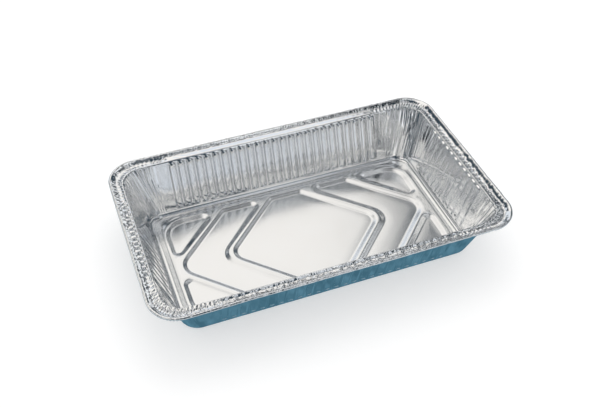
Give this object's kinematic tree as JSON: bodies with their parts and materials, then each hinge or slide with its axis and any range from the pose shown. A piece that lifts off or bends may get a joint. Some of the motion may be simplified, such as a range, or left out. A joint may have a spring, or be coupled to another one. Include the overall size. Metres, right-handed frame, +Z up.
{
  "type": "aluminium foil tray",
  "caption": "Deep rectangular foil tray with ribbed sloping walls, a flat flange with a rolled edge and raised bars pressed into its floor.",
  "frame": {"origin": "middle of the underside, on the surface that the tray stands on", "axes": "+X along the length, +Y across the width, +Z up out of the open top"},
  "size_m": [0.527, 0.323, 0.0885],
  "materials": {
    "foil": "bright rolled foil, softly satin on the floor and creased at the corners"
  },
  "bodies": {
    "root": {"foil_tray": "foil"}
  },
  "joints": []
}
